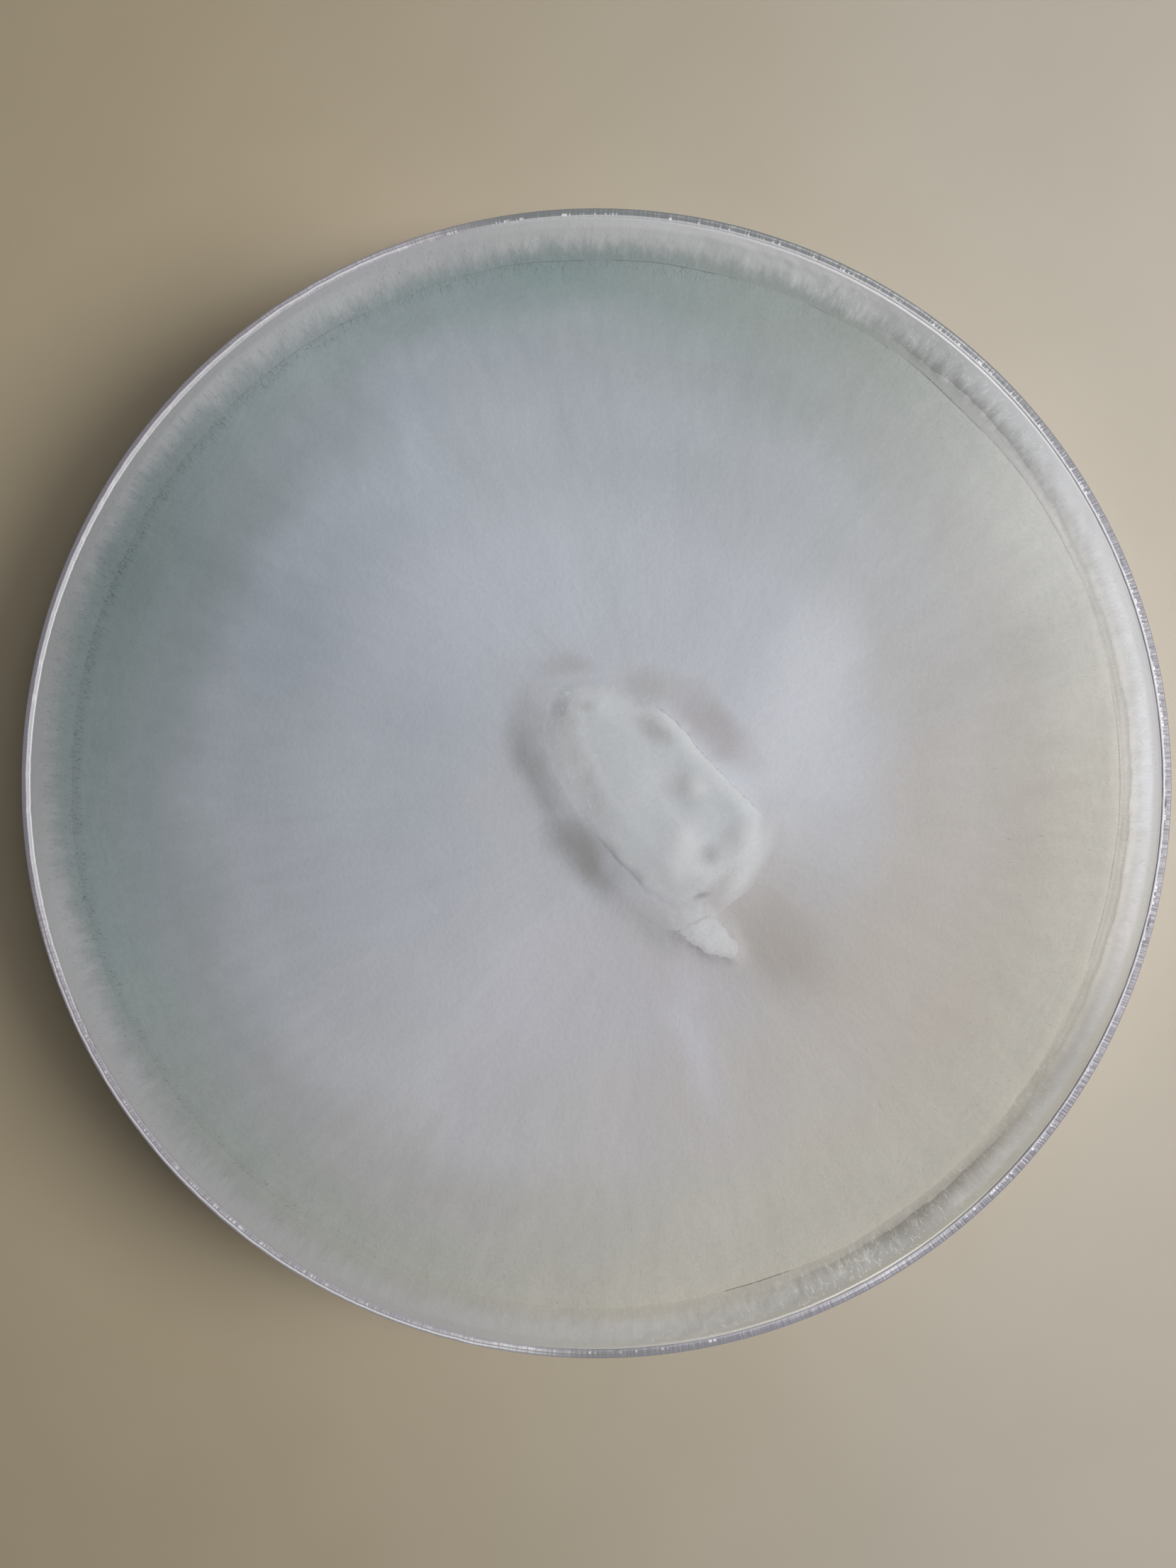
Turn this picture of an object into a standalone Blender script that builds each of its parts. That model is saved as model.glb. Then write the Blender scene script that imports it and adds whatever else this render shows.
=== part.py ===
"""A 90 mm disposable petri dish, overgrown by a mould colony, standing in its own upturned lid.

Frame: the origin is at the middle of the lid's stacking ring, on the bench. +Z is up, and +Y is the way that
the culture's far side lies. Lengths are in metres.
"""

import math

import bmesh
import bpy
from mathutils import Matrix, Vector

# Driving dimensions ---------------------------------------------------------------------
SEGMENTS = 72  # sides of every turned piece
GAP = 0.0003  # clearance between pieces that touch

# Lid, lying on its outer face
LID_RADIUS = 0.0458
LID_HEIGHT = 0.0078
LID_WALL = 0.00075
LID_PLATE = 0.0010
STACKING_RING_HEIGHT = 0.0007
STACKING_RING_RADIUS = 0.0412  # middle of the ring
STACKING_RING_WIDTH = 0.0012
VENT_NUB_HEIGHT = 0.0005
VENT_NUB_LENGTH = 0.0040  # radial
VENT_NUB_WIDTH = 0.0022
VENT_NUB_COUNT = 3

# Base
RIM_RADIUS = 0.0440  # outer radius of the rim
FOOT_RADIUS = 0.0434  # outer radius of the wall at the foot
BASE_HEIGHT = 0.0140
RIM_WIDTH = 0.00065
FOOT_WALL = 0.00085  # wall thickness at the foot
FLOOR = 0.0010
FOOT_RING_INNER = 0.0398
FOOT_RECESS = 0.00025
GATE_RADIUS = 0.0010  # moulding gate mark under the floor
GATE_HEIGHT = 0.00012

# Contents
AGAR_DEPTH = 0.0040
MENISCUS_RISE = 0.0006
MENISCUS_WIDTH = 0.0016
MAT_DEPTH = 0.0012
SPORE_INNER = 0.0290
SPORE_OUTER = 0.0406
SPORE_DEPTH = 0.0004
COLLAR_FOOT = 0.0417  # inner radius of the collar where it meets the mat
COLLAR_RISE = 0.0044
BLOCK_DEPTH = 0.0028
FELT_DEPTH = 0.0010  # thickness of the felt over the block
FELT_FLARE = 0.0009  # how far the felt spreads at its foot
TUFT_LENGTH = 0.0052
TUFT_WIDTH = 0.0030
TUFT_HEIGHT = 0.0012

# The block is cut by hand, with one corner trimmed. Its corners run counter-clockwise, x along its length.
BLOCK_CORNERS = [
    (0.0067, -0.0046),
    (0.0066, 0.0039),
    (-0.0046, 0.0032),
    (-0.0094, 0.0010),
    (-0.0082, -0.0038),
]
BLOCK_CENTRE = (0.0052, -0.0010)
BLOCK_TURN = math.radians(-50)
TUFT_PLACE = (0.0118, -0.0038)  # in the block's frame
TUFT_TURN = math.radians(4)  # from the block's length

# Levels that follow from the sizes above
PLATE_BOTTOM = STACKING_RING_HEIGHT
PLATE_TOP = PLATE_BOTTOM + LID_PLATE
BASE_BOTTOM = PLATE_TOP + VENT_NUB_HEIGHT + GAP
BASE_RIM = BASE_BOTTOM + BASE_HEIGHT
FLOOR_TOP = BASE_BOTTOM + FOOT_RECESS + FLOOR
AGAR_BOTTOM = FLOOR_TOP + GAP
AGAR_TOP = AGAR_BOTTOM + AGAR_DEPTH
MAT_BOTTOM = AGAR_TOP + GAP
MAT_TOP = MAT_BOTTOM + MAT_DEPTH
CROWN_BOTTOM = MAT_TOP + GAP  # what lies on the mat starts here
BLOCK_TOP = MAT_BOTTOM + BLOCK_DEPTH

MATERIALS = {
    "clear_polystyrene": ((0.86, 0.87, 0.90, 1.0), 0.12, 0.0, 0.92),
    "agar_gel": ((0.60, 0.52, 0.34, 1.0), 0.25, 0.0, 0.35),
    "pale_mycelium": ((0.62, 0.64, 0.66, 1.0), 0.95, 0.0, 0.0),
    "white_mycelium": ((0.80, 0.81, 0.80, 1.0), 0.95, 0.0, 0.0),
    "green_spores": ((0.25, 0.33, 0.28, 1.0), 1.0, 0.0, 0.0),
}


def clear_scene():
    for obj in list(bpy.data.objects):
        bpy.data.objects.remove(obj, do_unlink=True)


def material(name):
    """The named material, made on first use: base colour, roughness, metallic and transmission."""
    if name in bpy.data.materials:
        return bpy.data.materials[name]
    colour, roughness, metallic, transmission = MATERIALS[name]
    made = bpy.data.materials.new(name)
    made.use_nodes = True
    shader = made.node_tree.nodes["Principled BSDF"]
    shader.inputs["Base Color"].default_value = colour
    shader.inputs["Roughness"].default_value = roughness
    shader.inputs["Metallic"].default_value = metallic
    shader.inputs["Transmission Weight"].default_value = transmission
    return made


def add_object(name, mesh, material_name, parent=None, location=(0, 0, 0)):
    obj = bpy.data.objects.new(name, mesh)
    bpy.context.scene.collection.objects.link(obj)
    mesh.materials.append(material(material_name))
    obj.location = location
    obj.parent = parent
    return obj


def arc(centre, radius, start, end, steps):
    """Points on a circle in the profile plane, from start to end in degrees, both ends included."""
    angles = [math.radians(start + (end - start) * i / steps) for i in range(steps + 1)]
    return [(centre[0] + radius * math.cos(a), centre[1] + radius * math.sin(a)) for a in angles]


def turned(name, profile, material_name, parent, height, closed=False):
    """Turns a profile of (radius, height) points round Z. The profile runs down its outer side."""
    mesh = bpy.data.meshes.new(name)
    count = len(profile)
    edges = [(i, (i + 1) % count) for i in range(count if closed else count - 1)]
    mesh.from_pydata([(r, 0, z) for r, z in profile], edges, [])
    obj = add_object(name, mesh, material_name, parent, (0, 0, height))
    screw = obj.modifiers.new("Turn", "SCREW")
    screw.axis = "Z"
    screw.angle = 2 * math.pi
    screw.steps = screw.render_steps = SEGMENTS
    screw.use_merge_vertices = True
    screw.merge_threshold = 0.00001
    screw.use_smooth_shade = True
    return obj


def cut(obj, cutter, operation="DIFFERENCE"):
    """Cuts obj with cutter, or joins it on, and keeps the cutter as a hidden wire helper."""
    boolean = obj.modifiers.new(cutter.name, "BOOLEAN")
    boolean.operation = operation
    boolean.solver = "EXACT"
    boolean.object = cutter
    cutter.hide_render = True
    cutter.display_type = "WIRE"


def prism(name, outline, bottom, top, top_outline=None):
    """A mesh with a counter-clockwise outline at its foot, and the same or another one at its top."""
    mesh = bpy.data.meshes.new(name)
    shape = bmesh.new()
    foot = [shape.verts.new((x, y, bottom)) for x, y in outline]
    head = [shape.verts.new((x, y, top)) for x, y in top_outline or outline]
    shape.faces.new(reversed(foot))
    shape.faces.new(head)
    for i in range(len(foot)):
        k = (i + 1) % len(foot)
        shape.faces.new((foot[i], foot[k], head[k], head[i]))
    shape.to_mesh(mesh)
    shape.free()
    return mesh


def offset_outline(corners, distance):
    """Moves every side of a convex counter-clockwise outline outwards by distance."""
    moved = []
    count = len(corners)
    for i in range(count):
        before, here, after = (Vector(corners[(i + k) % count]) for k in (-1, 0, 1))
        into, out = (here - before).normalized(), (after - here).normalized()
        normal_in, normal_out = Vector((into.y, -into.x)), Vector((out.y, -out.x))
        spread = (normal_in + normal_out).normalized()
        moved.append(here + spread * distance / spread.dot(normal_in))
    return moved


def block_outline(distance=0.0):
    """The block's outline in its own frame, grown by distance."""
    return offset_outline(BLOCK_CORNERS, distance)


def at_block(obj, turn=0.0):
    """Sets obj into the block's frame, from a location that is given in that frame."""
    into = Matrix.Rotation(BLOCK_TURN, 3, "Z") @ obj.location
    obj.location = into + Vector((*BLOCK_CENTRE, 0))
    obj.rotation_euler.z = BLOCK_TURN + turn
    return obj


def bevel(obj, width, segments):
    modifier = obj.modifiers.new("Rounding", "BEVEL")
    modifier.width = width
    modifier.segments = segments
    modifier.limit_method = "ANGLE"
    modifier.angle_limit = math.radians(30)


def inner_wall(height):
    """Inner radius of the base's wall at a height over the base's foot."""
    outer = FOOT_RADIUS + (RIM_RADIUS - FOOT_RADIUS) * height / BASE_HEIGHT
    return outer - FOOT_WALL - (RIM_WIDTH - FOOT_WALL) * height / BASE_HEIGHT


# Sub-parts ------------------------------------------------------------------------------
def make_lid(parent):
    """The upturned lid: plate down, skirt up, and the vent nubs that the base stands on."""
    ring_in = STACKING_RING_RADIUS - STACKING_RING_WIDTH / 2
    ring_out = STACKING_RING_RADIUS + STACKING_RING_WIDTH / 2
    bore = LID_RADIUS - LID_WALL
    corner, fillet, lip = 0.0011, 0.0006, 0.00022
    profile = [(0, PLATE_TOP), (bore - fillet, PLATE_TOP)]
    profile += arc((bore - fillet, PLATE_TOP + fillet), fillet, -90, 0, 3)[1:]
    profile += arc((bore + lip, LID_HEIGHT - lip), lip, 180, 90, 2)
    profile += arc((LID_RADIUS - lip, LID_HEIGHT - lip), lip, 90, 0, 2)
    profile += arc((LID_RADIUS - corner, PLATE_BOTTOM + corner), corner, 0, -90, 4)
    profile += [(ring_out, PLATE_BOTTOM), (ring_out - 0.0001, 0)]
    profile += [(ring_in + 0.0001, 0), (ring_in, PLATE_BOTTOM)]
    profile += [(GATE_RADIUS, PLATE_BOTTOM), (GATE_RADIUS, PLATE_BOTTOM - GATE_HEIGHT)]
    profile += [(0, PLATE_BOTTOM - GATE_HEIGHT)]
    lid = turned("lid", profile, "clear_polystyrene", parent, 0)
    for index in range(VENT_NUB_COUNT):
        turn = Matrix.Rotation(2 * math.pi * (index + 0.25) / VENT_NUB_COUNT, 4, "Z")
        far = bore - 0.0008
        outline = [(far - VENT_NUB_LENGTH, -VENT_NUB_WIDTH / 2), (far, -VENT_NUB_WIDTH / 2)]
        outline += [(x, -y) for x, y in reversed(outline)]
        sunk = PLATE_TOP - LID_PLATE / 2
        mesh = prism(f"vent_nub_{index + 1}", outline, sunk, PLATE_TOP + VENT_NUB_HEIGHT)
        mesh.transform(turn)
        nub = add_object(mesh.name, mesh, "clear_polystyrene", parent)
        cut(lid, nub, "UNION")
    return lid


def make_dish_base(parent):
    """Floor, drafted wall, square-edged rim, foot ring and gate mark, as one moulding."""
    floor_top = FOOT_RECESS + FLOOR
    fillet, corner, edge = 0.0006, 0.0010, 0.00012
    draft = math.degrees(math.atan2(RIM_RADIUS - FOOT_RADIUS, BASE_HEIGHT))
    inner_foot, inner_rim = inner_wall(floor_top), RIM_RADIUS - RIM_WIDTH
    profile = [(0, floor_top), (inner_foot - fillet, floor_top)]
    profile += arc((inner_foot - fillet, floor_top + fillet), fillet, -90, -draft, 3)[1:]
    profile += [(inner_rim, BASE_HEIGHT - edge), (inner_rim + edge, BASE_HEIGHT)]
    profile += [(RIM_RADIUS - edge, BASE_HEIGHT), (RIM_RADIUS, BASE_HEIGHT - edge)]
    profile += arc((FOOT_RADIUS - corner, corner), corner, 0, -90, 4)
    profile += [(FOOT_RING_INNER, 0), (FOOT_RING_INNER - 0.0002, FOOT_RECESS)]
    profile += [(GATE_RADIUS, FOOT_RECESS), (GATE_RADIUS, FOOT_RECESS - GATE_HEIGHT)]
    profile += [(0, FOOT_RECESS - GATE_HEIGHT)]
    return turned("dish_base", profile, "clear_polystyrene", parent, 0)


def make_agar(parent):
    """The poured gel: flat, with a meniscus that creeps up the wall."""
    bottom, top = AGAR_BOTTOM - BASE_BOTTOM, AGAR_TOP - BASE_BOTTOM
    edge = inner_wall(top + MENISCUS_RISE) - GAP
    profile = [(0, top)]
    for step in range(5):
        along = step / 4
        profile.append((edge - MENISCUS_WIDTH * (1 - along), top + MENISCUS_RISE * along**2))
    profile += [(inner_wall(bottom + 0.0006) - GAP, bottom + 0.0006)]
    profile += [(inner_wall(bottom) - GAP - 0.0007, bottom), (0, bottom)]
    return turned("agar_medium", profile, "agar_gel", parent, 0)


def make_mat(parent):
    """The felt over the agar, with a window where the inoculum block stands on the gel."""
    bottom, top = MAT_BOTTOM - BASE_BOTTOM, MAT_TOP - BASE_BOTTOM
    lift = MENISCUS_RISE + GAP
    edge = inner_wall(top) - GAP
    start = edge - MENISCUS_WIDTH - GAP
    profile = [(0, top), (edge - 0.0004, top), (edge, top - 0.00015), (edge, bottom + lift)]
    profile += [(start + MENISCUS_WIDTH * 0.55, bottom + lift * 0.35), (start, bottom), (0, bottom)]
    mat = turned("mycelium_mat", profile, "pale_mycelium", parent, 0)
    window = prism("block_window", block_outline(GAP), bottom - 0.001, top + 0.001)
    cut(mat, at_block(add_object("block_window", window, "pale_mycelium", parent)))
    return mat


def make_spore_ring(parent):
    """The spore-bearing layer that lies on the mat, thinning to both of its edges."""
    bottom = CROWN_BOTTOM - BASE_BOTTOM
    top = bottom + SPORE_DEPTH
    thin = bottom + SPORE_DEPTH / 3
    profile = [(SPORE_INNER, bottom), (SPORE_INNER, thin), (SPORE_INNER + 0.004, top)]
    profile += [(SPORE_OUTER - 0.0015, top), (SPORE_OUTER, thin), (SPORE_OUTER, bottom)]
    return turned("spore_ring", profile, "green_spores", parent, 0, closed=True)


def make_collar(parent):
    """White mycelium that climbs the wall from the edge of the mat, thick at its foot and thin at its top."""
    bottom = CROWN_BOTTOM - BASE_BOTTOM
    top = bottom + COLLAR_RISE
    steps, toe, lip = 6, 0.0002, 0.00035
    reach = inner_wall(top) - GAP - lip - COLLAR_FOOT
    profile = [(COLLAR_FOOT, bottom)]
    for step in range(steps + 1):
        along = step / steps
        out = COLLAR_FOOT + reach * (1 - (1 - along) ** 2.4)
        profile.append((out, bottom + toe + (COLLAR_RISE - toe) * along**1.5))
    profile += [(inner_wall(top) - GAP, top), (inner_wall(bottom) - GAP, bottom)]
    return turned("wall_collar", profile, "white_mycelium", parent, 0, closed=True)


def make_block(parent):
    """The hand-cut agar block, standing on the gel in the mat's window."""
    mesh = prism("inoculum_block", block_outline(), MAT_BOTTOM - BASE_BOTTOM, BLOCK_TOP - BASE_BOTTOM)
    block = at_block(add_object("inoculum_block", mesh, "agar_gel", parent))
    bevel(block, 0.00035, 2)
    return block


def make_block_felt(parent):
    """A cap of felt over the block, flared at its foot."""
    bottom, top = CROWN_BOTTOM - BASE_BOTTOM, BLOCK_TOP + GAP + FELT_DEPTH - BASE_BOTTOM
    around = GAP + FELT_DEPTH
    mesh = prism("block_felt", block_outline(around + FELT_FLARE), bottom, top, block_outline(around))
    felt = at_block(add_object("block_felt", mesh, "white_mycelium", parent))
    bevel(felt, 0.0005, 3)
    room = prism("block_room", block_outline(GAP), bottom - 0.002, BLOCK_TOP + GAP - BASE_BOTTOM)
    cut(felt, at_block(add_object("block_room", room, "white_mycelium", parent)))
    return felt


def make_tuft(parent):
    """A low ridge of felt on the mat, the upper half of an ellipsoid."""
    mesh = bpy.data.meshes.new("felt_tuft")
    shape = bmesh.new()
    bmesh.ops.create_uvsphere(shape, u_segments=24, v_segments=12, radius=1)
    every = shape.verts[:] + shape.edges[:] + shape.faces[:]
    sliced = bmesh.ops.bisect_plane(
        shape, geom=every, plane_co=(0, 0, 0.08), plane_no=(0, 0, 1), clear_inner=True, dist=0.000001
    )
    rim = [item for item in sliced["geom_cut"] if isinstance(item, bmesh.types.BMEdge)]
    bmesh.ops.edgeloop_fill(shape, edges=rim)
    bmesh.ops.translate(shape, verts=shape.verts, vec=(0, 0, -0.08))
    bmesh.ops.scale(shape, verts=shape.verts, vec=(TUFT_LENGTH / 2, TUFT_WIDTH / 2, TUFT_HEIGHT / 0.92))
    bmesh.ops.recalc_face_normals(shape, faces=shape.faces)
    shape.to_mesh(mesh)
    shape.free()
    mesh.shade_smooth()
    place = (*TUFT_PLACE, CROWN_BOTTOM - BASE_BOTTOM)
    return at_block(add_object("felt_tuft", mesh, "white_mycelium", parent, place), TUFT_TURN)


def body_empty(name, height):
    """An empty that a body's pieces hang on. It lies on the axis that the base lifts along."""
    empty = bpy.data.objects.new(name, None)
    bpy.context.scene.collection.objects.link(empty)
    empty.location = (0, 0, height)
    return empty


def main():
    clear_scene()
    lid_body = body_empty("lid_body", 0)
    dish_body = body_empty("dish_body", BASE_BOTTOM)
    make_lid(lid_body)
    for make in (make_dish_base, make_agar, make_mat, make_spore_ring, make_collar):
        make(dish_body)
    for make in (make_block, make_block_felt, make_tuft):
        make(dish_body)


main()
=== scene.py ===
"""Looks of an open 90 mm petri dish with a felted mould colony, standing in its upturned lid.

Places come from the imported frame, in metres. The colony is worked out in millimetres, from above: x to the
right, y to the far side, angles counter-clockwise from +X. Every surface of the colony takes its colour from
one set of zones, so that mat, spore layer, collar, block felt and tuft grow into one another.
"""

import math

import bpy
import numpy as np
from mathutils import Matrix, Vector


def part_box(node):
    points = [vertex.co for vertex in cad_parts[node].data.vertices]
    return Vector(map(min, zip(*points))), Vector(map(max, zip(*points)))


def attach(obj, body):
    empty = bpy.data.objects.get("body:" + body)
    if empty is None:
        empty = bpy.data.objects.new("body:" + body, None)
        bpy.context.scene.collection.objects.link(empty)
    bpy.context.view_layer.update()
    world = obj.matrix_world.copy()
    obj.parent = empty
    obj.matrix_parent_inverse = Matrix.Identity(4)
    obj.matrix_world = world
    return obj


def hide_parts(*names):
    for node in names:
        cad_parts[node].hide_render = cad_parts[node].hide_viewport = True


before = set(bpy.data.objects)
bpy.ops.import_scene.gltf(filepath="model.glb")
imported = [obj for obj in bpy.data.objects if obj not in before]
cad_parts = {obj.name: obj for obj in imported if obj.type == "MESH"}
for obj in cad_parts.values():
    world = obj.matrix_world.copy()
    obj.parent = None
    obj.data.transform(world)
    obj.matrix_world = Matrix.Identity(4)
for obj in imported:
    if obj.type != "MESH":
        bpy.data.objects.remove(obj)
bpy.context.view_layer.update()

# --- Sizes in millimetres, most of them from the frame ---
MM = 0.001


def box_mm(node):
    low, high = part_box(node)
    return np.array(low) / MM, np.array(high) / MM


BASE_LOW, BASE_HIGH = box_mm("dish_base")
MAT_LOW, MAT_HIGH = box_mm("mycelium_mat")
LID_HIGH = box_mm("lid")[1]

RIM_RADIUS = BASE_HIGH[0]
RIM_HEIGHT = BASE_HIGH[2]
FOOT_HEIGHT = BASE_LOW[2]
DRAFT = 0.6
FOOT_RADIUS = RIM_RADIUS - DRAFT
RIM_WIDTH, FOOT_WALL, FLOOR = 0.65, 0.85, 1.0
FOOT_RECESS = 0.25
FLOOR_TOP = FOOT_HEIGHT + FOOT_RECESS + FLOOR
MAT_LEVEL = MAT_HIGH[2]
BLOCK_RISE = box_mm("block_felt")[1][2] - MAT_LEVEL

# The block's own frame
BLOCK_CENTRE = np.array([5.2, -1.0])
BLOCK_TURN = math.radians(-50)

SEED = 7


# --- Small numeric tools ---
def smooth(low, high, value):
    """0 below low, 1 above high, with a smooth rise between."""
    t = np.clip((value - low) / (high - low), 0, 1)
    return t * t * (3 - 2 * t)


def lattice(x, y, seed):
    """Smooth noise from -1 to 1, with features about 1 unit wide."""
    left, below = np.floor(x), np.floor(y)
    fx, fy = x - left, y - below
    fx, fy = fx**3 * (fx * (fx * 6 - 15) + 10), fy**3 * (fy * (fy * 6 - 15) + 10)

    def corner(dx, dy):
        i, j = (left + dx).astype(np.int64), (below + dy).astype(np.int64)
        h = (i * 374761393 + j * 668265263 + seed * 974634777) & 0xFFFFFFFF
        h = ((h ^ (h >> 13)) * 1274126177) & 0xFFFFFFFF
        return ((h ^ (h >> 16)) & 0xFFFF) / 32767.5 - 1

    low = corner(0, 0) * (1 - fx) + corner(1, 0) * fx
    high = corner(0, 1) * (1 - fx) + corner(1, 1) * fx
    return low * (1 - fy) + high * fy


def fractal(x, y, seed, octaves=3):
    """Sum of ever finer lattice noise."""
    total, weight, scale = 0.0, 0.0, 1.0
    for octave in range(octaves):
        amount = 0.5**octave
        total = total + amount * lattice(x * scale + 31.7 * octave, y * scale, seed + octave)
        weight += amount
        scale *= 2.03
    return total / weight


def round_noise(angle, height, seed, per_turn, octaves=2):
    """Noise round a circle, with about per_turn features in a turn and no seam."""
    size = per_turn / (2 * math.pi)
    return fractal(np.cos(angle) * size + height, np.sin(angle) * size - height, seed, octaves)


def round_angles(steps):
    return np.linspace(0, 2 * math.pi, steps, endpoint=False)


def polar(radius, angle, height):
    """Points at radii, angles and heights."""
    return np.stack(np.broadcast_arrays(radius * np.cos(angle), radius * np.sin(angle), height), -1)


def unit(vectors):
    return vectors / np.linalg.norm(vectors, axis=1, keepdims=True)


def inner_wall(height):
    """Inner radius of the base's wall at a height."""
    up = (height - FOOT_HEIGHT) / (RIM_HEIGHT - FOOT_HEIGHT)
    return FOOT_RADIUS - FOOT_WALL + (RIM_RADIUS - RIM_WIDTH - FOOT_RADIUS + FOOT_WALL) * up


def arc(x, y, radius, start, end, steps):
    """Points of a profile on a circle, from start to end in degrees, both ends included."""
    angles = np.radians(np.linspace(start, end, steps + 1))
    return [(x + radius * math.cos(a), y + radius * math.sin(a)) for a in angles]


# --- Meshes ---
def make_piece(name, points, faces, material, body="dish"):
    """A mesh object from points in millimetres, that rides on a body."""
    mesh = bpy.data.meshes.new(name)
    mesh.from_pydata((np.asarray(points) * MM).tolist(), [], faces)
    mesh.materials.append(material)
    mesh.shade_smooth()
    mesh.update()
    obj = bpy.data.objects.new(name, mesh)
    bpy.context.scene.collection.objects.link(obj)
    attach(obj, body)
    return obj


def grid_index(rows, columns, closed=True):
    """Numbers of a grid's points. A closed grid has its first column again at its end."""
    index = np.arange(rows * columns).reshape(rows, columns)
    return np.hstack([index, index[:, :1]]) if closed else index


def quads(index):
    """Quads between the rows of a grid of point numbers."""
    here, there = index[:-1], index[1:]
    return np.stack([there[:, :-1], there[:, 1:], here[:, 1:], here[:, :-1]], -1).reshape(-1, 4)


def stacked(rings, top, bottom):
    """Points and faces of a body through rings, from the middle of its top to that of its bottom."""
    count, steps = rings.shape[:2]
    index = grid_index(count, steps)
    step, after = index[0, :-1], index[0, 1:]
    last, peak = (count - 1) * steps, np.full(steps, count * steps)
    fans = np.stack([peak, step, after], -1).tolist()
    fans += np.stack([peak + 1, last + after, last + step], -1).tolist()
    return np.vstack([rings.reshape(-1, 3), top, bottom]), quads(index).tolist() + fans


def turned(profile, steps, shift=None):
    """Points and faces of a profile turned round Z. Its ends lie on the axis. It runs down its outer side.

    shift(angle, radius, height) may move the points, and gives new radii and heights.
    """
    angle = round_angles(steps)
    radius, height = (np.repeat(side[1:-1, None], steps, 1) for side in np.asarray(profile).T)
    if shift is not None:
        radius, height = shift(np.broadcast_to(angle, radius.shape), radius, height)
    return stacked(polar(radius, angle, height), [0, 0, profile[0][1]], [0, 0, profile[-1][1]])


def closed_sheet(upper, lower, closed=False):
    """Points and faces of a sheet between two grids of points, with walls along its border."""
    rows, columns = upper.shape[:2]
    index, count = grid_index(rows, columns, closed), rows * columns
    border = [index[0], index[-1, ::-1]] + ([] if closed else [index[::-1, 0], index[:, -1]])
    faces = [quads(index), quads(index)[:, ::-1] + count]
    for line in border:
        a, b = line[:-1], line[1:]
        faces.append(np.stack([b + count, a + count, a, b], -1))
    return np.vstack([upper.reshape(-1, 3), lower.reshape(-1, 3)]), np.vstack(faces)


# --- Node graphs ---
class Value:
    """An output socket of a node graph. Sums, differences and products of values make new nodes."""

    def __init__(self, graph, socket, wide):
        self.graph = graph
        self.socket = socket
        self.wide = wide  # true of a vector or a colour, and false of a number

    def __add__(self, other):
        return self.operate("ADD", other)

    def __sub__(self, other):
        return self.operate("SUBTRACT", other)

    def __mul__(self, other):
        scales = self.wide and not isinstance(other, tuple) and not getattr(other, "wide", False)
        return self.operate("SCALE" if scales else "MULTIPLY", other)

    def operate(self, operation, other=0.0):
        if not self.wide:
            return self.graph.make("ShaderNodeMath", {0: self, 1: other}, operation=operation)
        side = "Scale" if operation == "SCALE" else 1
        return self.graph.make("ShaderNodeVectorMath", {0: self, side: other}, wide=True, operation=operation)

    def unit(self):
        return self.graph.make("ShaderNodeVectorMath", {0: self}, wide=True, operation="NORMALIZE")

    def length(self):
        return self.graph.make("ShaderNodeVectorMath", {0: self}, "Value", operation="LENGTH")

    def split(self):
        made = self.graph.make("ShaderNodeSeparateXYZ", {0: self}).socket.node
        return [Value(self.graph, socket, False) for socket in made.outputs]

    def rise(self, low, high, first=0.0, last=1.0):
        """A smooth rise from first to last as the value goes from low to high."""
        sockets = dict(enumerate((self, low, high, first, last)))
        return self.graph.make("ShaderNodeMapRange", sockets, interpolation_type="SMOOTHSTEP")

    def band(self, low, full, end, gone):
        """A smooth rise from 0 to 1 and, further out, back to 0."""
        return self.rise(low, full) * self.rise(gone, end)

    def spread(self, noise, amount):
        """The value shifted by noise, up to half of amount each way."""
        return (noise - 0.5) * amount + self

    def most(self, other):
        return self.operate("MAXIMUM", other)


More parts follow.
